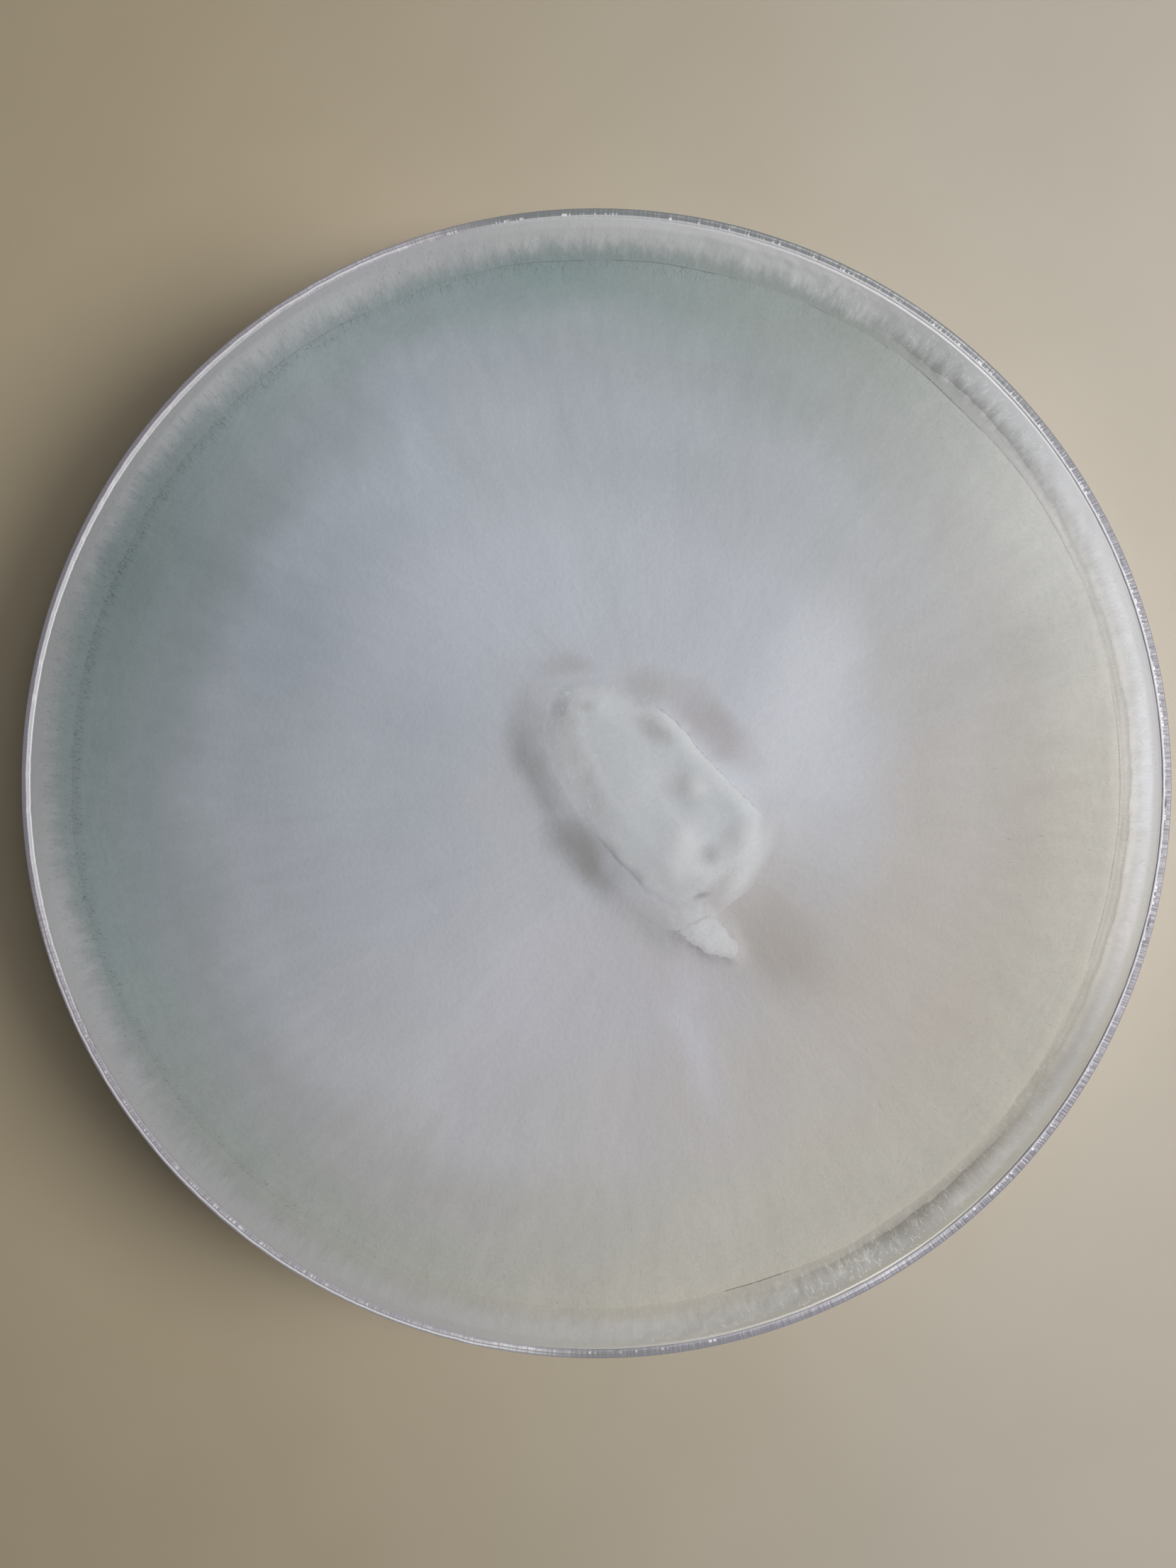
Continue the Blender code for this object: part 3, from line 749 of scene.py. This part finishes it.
def tuft_rise(x, y):
    """Height of the tuft over the mat: a low soft ridge, 0 away from it."""
    u, v = to_block(x, y)
    shift_u, shift_v = (0.4 * fractal(u / 1.6, v / 1.6, SEED + seed, 2) for seed in (22, 23))
    u, v = u + shift_u, v + shift_v
    ridge = sum(hill(u, v, *place) for place in TUFT_PATH)
    ragged = 1 + 0.10 * fractal(u / 0.7, v / 0.7, SEED + 21, 3)
    return 1.05 * (1 - np.exp(-0.9 * ridge)) * ragged


def grown_height(x, y):
    """Height of the whole felt surface: mat, skirt, block and tuft, run softly together."""
    block, tuft = block_rise(x, y), tuft_rise(x, y)
    higher = 0.5 * (block + tuft + np.sqrt((block - tuft) ** 2 + 0.04))
    return mat_height(x, y) + higher - 0.1 * np.exp(-(block + tuft) / 0.3)


def collar_surface(angle, along):
    """Radius and height on the collar's face, from its foot on the mat (0) to its top on the wall (1)."""
    ragged = round_noise(angle, 0, SEED + 31, 300, 3) + round_noise(angle, 2, SEED + 32, 40)
    top, foot = RIM_HEIGHT - 0.26 + 0.05 * ragged, MAT_LEVEL - 0.05
    height = foot + (top - foot) * along**1.35
    depth = 0.95 * (1 - along) ** 2.4 + 0.20 * (1 - along) + 0.04
    tuft = round_noise(angle, along * 2.5, SEED + 33, 170, 2)
    lump = round_noise(angle, along * 0.8, SEED + 34, 34, 2)
    depth = depth * (1 + 0.2 * lump) + 0.035 * tuft * (0.35 + along) * (1 - along**6)
    return inner_wall(height) - 0.03 - np.clip(depth, 0.015, None), height


# --- Pieces of the colony ---
ROOTED = 0.35  # how deep the block's felt and the tuft reach into the mat


def lay_sheet(name, x, y, top, bottom, material, closed=False):
    """A grid patch with a worked top and underside, closed round its border."""
    upper, lower = (np.stack([x, y, level], -1) for level in (top, bottom))
    return make_piece(name, *closed_sheet(upper, lower, closed), material)


def make_mat(material):
    """The felt over the whole plate. Its underside lies on the gel."""
    def surface(x, y):
        """The shared surface. Under the block's felt it drops to just below the mat's level."""
        window = smooth(-0.9, -2.2, block_distance(*to_block(x, y)))
        return grown_height(x, y) * (1 - window) + (MAT_LEVEL - 0.4) * window

    radii = np.concatenate([np.arange(0.3, 20, 0.24), np.arange(20.2, 30, 0.45), np.linspace(30, 42.6, 44)])
    rings = polar(radii[:, None], round_angles(540), 0.0)
    rings[..., 2] = surface(rings[..., 0], rings[..., 1])
    bottom = [0, 0, MAT_LOW[2] - 0.25]
    rings = np.concatenate([rings, rings[-1:] * (1, 1, 0) + bottom])
    top = [0, 0, surface(np.zeros(1), np.zeros(1))[0]]
    piece = make_piece("mycelium_felt", *stacked(rings, top, bottom), material)
    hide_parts("mycelium_mat")


def make_spore_layer(material):
    radii = np.concatenate([np.arange(26.5, 38.5, 0.33), np.arange(38.5, 42.3, 0.13)])
    x, y, _ = np.moveaxis(polar(radii[:, None], round_angles(720), 0.0), -1, 0)
    ground = mat_height(x, y)
    top = ground + spore_thickness(x, y)
    piece = lay_sheet("spore_layer", x, y, top, ground - 0.3, material, closed=True)
    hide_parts("spore_ring")


def make_collar(material):
    along, angle = np.meshgrid(np.linspace(0, 1, 26), round_angles(1440), indexing="ij")
    radius, height = collar_surface(angle, along)
    back = polar(inner_wall(height) - 0.008, angle, height)
    points, faces = closed_sheet(polar(radius, angle, height), back, closed=True)
    piece = make_piece("wall_mycelium", points, faces, material)
    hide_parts("wall_collar")


def block_grid(u_range, v_range, step):
    """A grid in the block's frame, as coordinates in the dish's frame."""
    return of_block(*np.meshgrid(np.arange(*u_range, step), np.arange(*v_range, step), indexing="ij"))


def make_block_felt(material):
    x, y = block_grid((-15.5, 13.5), (-10.5, 9.5), 0.11)
    offset = 0.05 - 0.09 * smooth(0.2, 2.6, block_distance(*to_block(x, y)))
    top, bottom = grown_height(x, y) + offset, mat_height(x, y) - ROOTED
    piece = lay_sheet("overgrown_block", x, y, top, bottom, material)
    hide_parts("block_felt")


def make_plug(material):
    """The cut block of gel inside the felt, rounded where the felt is thin over it."""
    low, high = box_mm("inoculum_block")
    steps, inset, cover, edge_round = 96, 0.35, 0.25, 0.3
    angle = round_angles(steps)
    reach = np.full(steps, FAR)
    for (ax, ay), (bx, by) in sides(PLUG_CORNERS):
        nx, ny = by - ay, ax - bx
        size = math.hypot(nx, ny)
        facing = (nx * np.cos(angle) + ny * np.sin(angle)) / size
        gap = (nx * ax + ny * ay) / size - inset
        reach = np.where(facing > 1e-6, np.minimum(reach, gap / np.maximum(facing, 1e-6)), reach)
    share = np.array([0.2, 0.4, 0.6, 0.75, 0.86, 0.94, 0.98, 1.0])[:, None]
    x, y = of_block(share * reach * np.cos(angle), share * reach * np.sin(angle))
    edge = edge_round * (1 - np.sqrt(1 - ((share - 0.9) / 0.1).clip(0, 1) ** 2))
    upper = np.stack([x, y, np.minimum(high[2] - edge, grown_height(x, y) - cover)], -1)
    rings = np.concatenate([upper, upper[-1:] * (1, 1, 0) + (0, 0, low[2])])
    middle = np.minimum(high[2], grown_height(*BLOCK_CENTRE[:, None])[0] - cover)
    points, faces = stacked(rings, [*BLOCK_CENTRE, middle], [*BLOCK_CENTRE, low[2]])
    piece = make_piece("gel_block", points, faces, material)
    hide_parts("inoculum_block")


def make_tuft(material):
    x, y = block_grid((4.5, 17.0), (-8.5, 0.5), 0.08)
    offset = 0.08 * smooth(0.1, 0.8, tuft_rise(x, y)) * smooth(7.5, 9.5, to_block(x, y)[0]) - 0.05
    top, bottom = grown_height(x, y) + offset, mat_height(x, y) - ROOTED
    piece = lay_sheet("white_tuft", x, y, top, bottom, material)
    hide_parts("felt_tuft")


# --- Loose hairs ---
HAIR_RINGS = ((0.0, 1.0), (0.4, 0.85), (0.75, 0.55))  # how far along a hair, and how thick it is there
HAIR_SIDES = 3
DOWN = np.array([0, 0, -1.0])


def make_hairs(name, roots, ways, lengths, thickness, droop, material):
    """Loose tapered hairs from roots along unit ways, in millimetres. They droop a share of their length."""
    side = np.cross(ways, [0.0, 0.0, 1.0])
    side /= np.maximum(np.linalg.norm(side, axis=1, keepdims=True), 1e-6)
    over = np.cross(side, ways)
    fall = droop * lengths[:, None]
    rows = []
    for t, width in HAIR_RINGS:
        centre = roots + ways * (lengths * t)[:, None] + fall * t * t * DOWN
        for a in round_angles(HAIR_SIDES):
            rows.append(centre + (side * math.cos(a) + over * math.sin(a)) * (thickness * width)[:, None])
    rows.append(roots + ways * lengths[:, None] + fall * DOWN)
    root, tip, last = tuple(range(HAIR_SIDES)), len(rows) - 1, len(rows) - 1 - HAIR_SIDES
    pattern = [root] + [tuple(q) for q in quads(grid_index(len(HAIR_RINGS), HAIR_SIDES))]
    pattern += [(tip, last + (k + 1) % HAIR_SIDES, last + k) for k in range(HAIR_SIDES)]
    faces = [tuple(int(len(rows) * i + p) for p in face) for i in range(len(roots)) for face in pattern]
    piece = make_piece(name, np.stack(rows, 1).reshape(-1, 3), faces, material)
    piece.visible_shadow = False  # single hairs are far finer than the shadows they would cast


def make_hyphae(material):
    """The loose hairs of the margin, the collar, the spore ring and the block."""
    random = np.random.default_rng(SEED)
    turn = 2 * math.pi

    def inward(angle, rise, stray):
        return unit(polar(-1, angle, rise) + random.normal(0, stray, (len(angle), 3)))

    def on_mat(radius, angle, sunk):
        x, y = radius * np.cos(angle), radius * np.sin(angle)
        return polar(radius, angle, mat_height(x, y) + np.clip(spore_thickness(x, y), 0, None) - sunk)

    count = 5600
    angle = random.normal(math.radians(170), 1.1, count)
    roots = on_mat(random.uniform(41.2, 42.9, count), angle, 0.05)
    ways = inward(angle, random.uniform(0.1, 0.7, count), 0.35)
    lengths = random.uniform(0.5, 1.4, count)
    make_hairs("margin_hyphae", roots, ways, lengths, random.uniform(0.014, 0.026, count), 0.15, material)

    angle, along = random.uniform(0, turn, count), random.uniform(0.05, 0.95, count)
    radius, height = collar_surface(angle, along)
    roots = polar(radius + 0.03, angle, height)
    ways = inward(angle, random.uniform(-0.2, 0.9, count), 0.4)
    lengths = random.uniform(0.25, 0.8, count) * (1.3 - 0.6 * along)
    make_hairs("collar_hyphae", roots, ways, lengths, random.uniform(0.012, 0.022, count), 0.2, material)

    count = 4200
    angle = random.uniform(0, turn, count)
    roots = on_mat(41.2 - random.exponential(4.5, count).clip(0, 14), angle, 0.03)
    ways = -inward(angle, random.uniform(-0.45, -0.05, count), 0.3)
    lengths = random.uniform(0.4, 1.0, count)
    make_hairs("felt_hyphae", roots, ways, lengths, random.uniform(0.012, 0.022, count), 0.2, material)

    count = 1500
    x, y = of_block(random.uniform(-12.5, 15.0, count), random.uniform(-7.0, 6.5, count))
    grown = np.maximum(block_rise(x, y), tuft_rise(x, y)) > 0.15
    x, y = x[grown], y[grown]
    count, step = len(x), 0.05
    slope_x = (grown_height(x + step, y) - grown_height(x - step, y)) / (2 * step)
    slope_y = (grown_height(x, y + step) - grown_height(x, y - step)) / (2 * step)
    normal = unit(np.stack([-slope_x, -slope_y, np.ones(count)], 1))
    roots = np.stack([x, y, grown_height(x, y)], 1)
    ways = unit(0.6 * normal + random.normal(0, 0.5, (count, 3)) * (1, 1, 0.3))
    lengths = random.uniform(0.25, 0.6, count)
    make_hairs("block_hyphae", roots, ways, lengths, random.uniform(0.012, 0.020, count), 0.3, material)


def make_agar(material):
    """The gel, up against floor and wall, with its meniscus."""
    bottom, level = FLOOR_TOP + 0.02, MAT_LOW[2] - 0.12
    gap, meniscus, reach, corner = 0.015, 0.6, 1.8, 0.6
    edge, foot = inner_wall(level + meniscus) - gap, inner_wall(bottom) - gap
    rise = [(edge - reach + reach * t, level + meniscus * t**2.2) for t in np.linspace(0, 1, 9)]
    profile = [(0, level), *rise, *arc(foot - corner, bottom + corner, corner, 0, -90, 6), (0, bottom)]
    piece = make_piece("agar_gel_disc", *turned(profile, 360), material)
    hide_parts("agar_medium")


# --- Plastic ---
def make_base(plastic, rim):
    """Floor, drafted wall, foot ring and rim. The rim's top is faintly uneven, with small nicks inside."""
    lean = math.degrees(math.atan2(DRAFT, RIM_HEIGHT - FOOT_HEIGHT))
    inner_rim, edge, corner, heel = RIM_RADIUS - RIM_WIDTH, 0.09, 0.6, 1.0
    recess, gate = FOOT_HEIGHT + FOOT_RECESS, 0.15
    profile = [(0, FLOOR_TOP), (20, FLOOR_TOP)]
    profile += arc(inner_wall(FLOOR_TOP) - corner, FLOOR_TOP + corner, corner, -90, -lean, 6)
    profile += [(inner_wall(h), h) for h in np.linspace(FLOOR_TOP + 2 * corner, RIM_HEIGHT - 0.35, 8)]
    rim_first = len(profile) - 1
    profile += arc(inner_rim + edge, RIM_HEIGHT - edge, edge, 180, 90, 4)
    profile += [(r, RIM_HEIGHT) for r in np.linspace(inner_rim + edge, RIM_RADIUS - edge, 7)[1:-1]]
    profile += arc(RIM_RADIUS - edge, RIM_HEIGHT - edge, edge, 90, 0, 4)
    rim_last = len(profile) - 1
    profile += [(RIM_RADIUS - 0.02, RIM_HEIGHT - 0.5), (RIM_RADIUS - 0.26, RIM_HEIGHT - 6)]
    profile += arc(FOOT_RADIUS - heel, FOOT_HEIGHT + heel, heel, 0, -90, 8)
    profile += [(40.0, FOOT_HEIGHT), (39.8, recess), (12, recess), *arc(0.9, recess - 0.05, 0.1, 0, -90, 3)]
    profile += [(0, recess - gate)]

    def nicks(angle, radius, height):
        """Shifts the rim's rings: a slow wave, fine tool marks, and ragged chips along the inner edge."""
        rows = np.arange(len(radius))[:, None] + 1
        on_rim = (rows > rim_first) & (rows <= rim_last)
        inner = on_rim & (radius < inner_rim + 0.2)
        wave = 0.02 * round_noise(angle, 0, SEED + 41, 9)
        marks = 0.02 * round_noise(angle, radius * 1.4, SEED + 42, 700, 2)
        chip = np.clip(round_noise(angle, 0, SEED + 43, 420, 3) - 0.15, 0, None)
        ragged = smooth(-0.35, 0.25, -np.cos(angle - 0.1))
        uneven = wave + marks - np.where(inner, 0.10 * chip, 0)
        height = height + np.where(on_rim, uneven, 0) - 0.04 * on_rim
        return radius + np.where(inner, 0.16 * chip * ragged, 0), height

    steps = 1440
    points, faces = turned(profile, steps, nicks)
    piece = make_piece("clear_base", points, faces, plastic)
    piece.data.materials.append(rim)
    slots = np.zeros(len(faces), np.int32)
    slots[(rim_first - 1) * steps : (rim_last - 1) * steps] = 1
    piece.data.polygons.foreach_set("material_index", slots)
    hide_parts("dish_base")


LID_WALL, PLATE_LOW, PLATE_HIGH = 0.75, 0.7, 1.7


def make_lid(material):
    """The upturned lid, with its stacking ring and rounded corner."""
    radius, height = LID_HIGH[0], LID_HIGH[2]
    bore, corner, lip, shoulder = radius - LID_WALL, 0.7, 0.25, 1.2
    ring_in, ring_out, ring_edge, ring_flare, gate = 40.6, 41.8, 0.2, 0.15, 0.15
    profile = [(0, PLATE_HIGH), (20, PLATE_HIGH)]
    profile += arc(bore - corner, PLATE_HIGH + corner, corner, -90, 0, 8)
    profile += arc(bore + lip, height - lip, lip, 180, 90, 5)
    profile += arc(radius - lip, height - lip, lip, 90, 0, 5)
    profile += arc(radius - shoulder, PLATE_LOW + shoulder, shoulder, 0, -90, 10)
    profile += [(ring_out + ring_flare, PLATE_LOW)]
    profile += arc(ring_out - ring_edge, ring_edge, ring_edge, 0, -90, 4)
    profile += arc(ring_in + ring_edge, ring_edge, ring_edge, -90, -180, 4)
    profile += [(ring_in - ring_flare, PLATE_LOW), (12, PLATE_LOW)]
    profile += [*arc(0.9, PLATE_LOW - 0.05, 0.1, 0, -90, 3), (0, PLATE_LOW - gate)]
    piece = make_piece("clear_lid", *turned(profile, 480), material, body="lid")
    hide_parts("lid")


def make_vent_nub(index, material):
    """One small moulded step in the lid's corner that the base stands on."""
    turn = 2 * math.pi * (index + 0.25) / 3
    length, width, rise, edge, low = 4.0, 2.2, 0.5, 0.18, PLATE_HIGH - 0.005
    out = LID_HIGH[0] - LID_WALL - 0.8
    rings = [(0.0, 0.0), (0.0, rise - edge), (edge * 0.3, rise - edge * 0.3), (edge, rise)]
    points = []
    for inset, up in rings:
        for sx, sy in ((-1, -1), (1, -1), (1, 1), (-1, 1)):
            x, y = out - length / 2 + sx * (length / 2 - inset), sy * (width / 2 - inset)
            c, s = math.cos(turn), math.sin(turn)
            points.append((x * c - y * s, x * s + y * c, low + up))
    around = quads(grid_index(len(rings), 4))[:, ::-1].tolist()
    ends = [(3, 2, 1, 0), tuple(range(len(points) - 4, len(points)))]
    piece = make_piece(f"vent_nub_{index + 1}", points, around + ends, material, body="lid")


# --- Stage ---
def make_stage():
    """Plain paper, with painted light: darker and warmer towards the shaded left, bluer at the right, and a
    little paler towards the top of the picture.
    """
    graph = Graph("floor_paper")
    paper = graph.mix(graph.noise(graph.place, 60.0, 3.0), (0.55, 0.49, 0.38), (0.61, 0.55, 0.44))
    x, y, _ = graph.place.split()
    # Painted light: darker and warmer at the left, bluer at the right
    painted_shade_tint = graph.mix(x.rise(-0.045, 0.045), (0.96, 0.90, 0.79), (1.0, 1.02, 1.10))
    # Painted light: paler towards the top
    painted_top_light = graph.mix(y.rise(-0.06, 0.06), (0.94, 0.94, 0.94), (1.07, 1.07, 1.07))
    for tint in (painted_shade_tint, painted_top_light):
        paper = graph.mix(1.0, paper, tint, "MULTIPLY")
    graph.set(base_color=paper, roughness=0.9)
    mesh = bpy.data.meshes.new("floor")
    reach = 1.5
    corners = [(-reach, -reach, 0), (reach, -reach, 0), (reach, reach, 0), (-reach, reach, 0)]
    mesh.from_pydata(corners, [], [(0, 1, 2, 3)])
    mesh.materials.append(graph.material)
    floor = bpy.data.objects.new("floor", mesh)
    bpy.context.scene.collection.objects.link(floor)


LIT_POINT = Vector((0, 0, 0.01))


def add_light(name, place, size, power, colour):
    light = bpy.data.lights.new(name, "AREA")
    light.shape = "DISK"
    light.size = size
    light.energy = power
    light.color = colour
    obj = bpy.data.objects.new(name, light)
    bpy.context.scene.collection.objects.link(obj)
    obj.location = place
    obj.rotation_euler = (LIT_POINT - obj.location).to_track_quat("-Z", "Y").to_euler()


def make_light():
    world = bpy.data.worlds.new("studio")
    world.use_nodes = True
    background = world.node_tree.nodes["Background"]
    background.inputs["Color"].default_value = (0.93, 0.95, 1.0, 1)
    background.inputs["Strength"].default_value = 0.09
    bpy.context.scene.world = world
    add_light("key", (0.1215, -0.0105, 0.20), 0.13, 0.40, (1.0, 0.98, 0.95))
    add_light("fill", (0.16, 0.26, 0.46), 0.40, 0.14, (0.93, 0.96, 1.0))
    bpy.context.scene.view_settings.view_transform = "Standard"


# The camera looks straight down, a little left of the dish's middle
CAMERA_RISE = 0.165  # over the rim
CAMERA_OFFSET = (-0.00064, -0.00005)
FRAME_HEIGHT = 0.1199  # what the long side of the picture spans at the rim


def make_camera():
    camera = bpy.data.cameras.new("camera")
    camera.sensor_width = 36
    camera.lens = camera.sensor_width * CAMERA_RISE / FRAME_HEIGHT
    camera.clip_start, camera.clip_end = 0.005, 10
    obj = bpy.data.objects.new("camera", camera)
    bpy.context.scene.collection.objects.link(obj)
    obj.location = (*CAMERA_OFFSET, RIM_HEIGHT * MM + CAMERA_RISE)
    bpy.context.scene.camera = obj


def main():
    make_stage()
    make_light()
    make_camera()
    plastic, gel = plastic_material(), gel_material()
    make_mat(felt_material())
    make_spore_layer(spore_material())
    make_collar(collar_material())
    make_block_felt(block_material("block_felt"))
    make_tuft(block_material("tuft_felt"))
    make_plug(gel)
    make_hyphae(hypha_material())
    make_agar(gel)
    make_base(plastic, rim_material())
    make_lid(plastic)
    for index in range(3):
        make_vent_nub(index, plastic)


main()
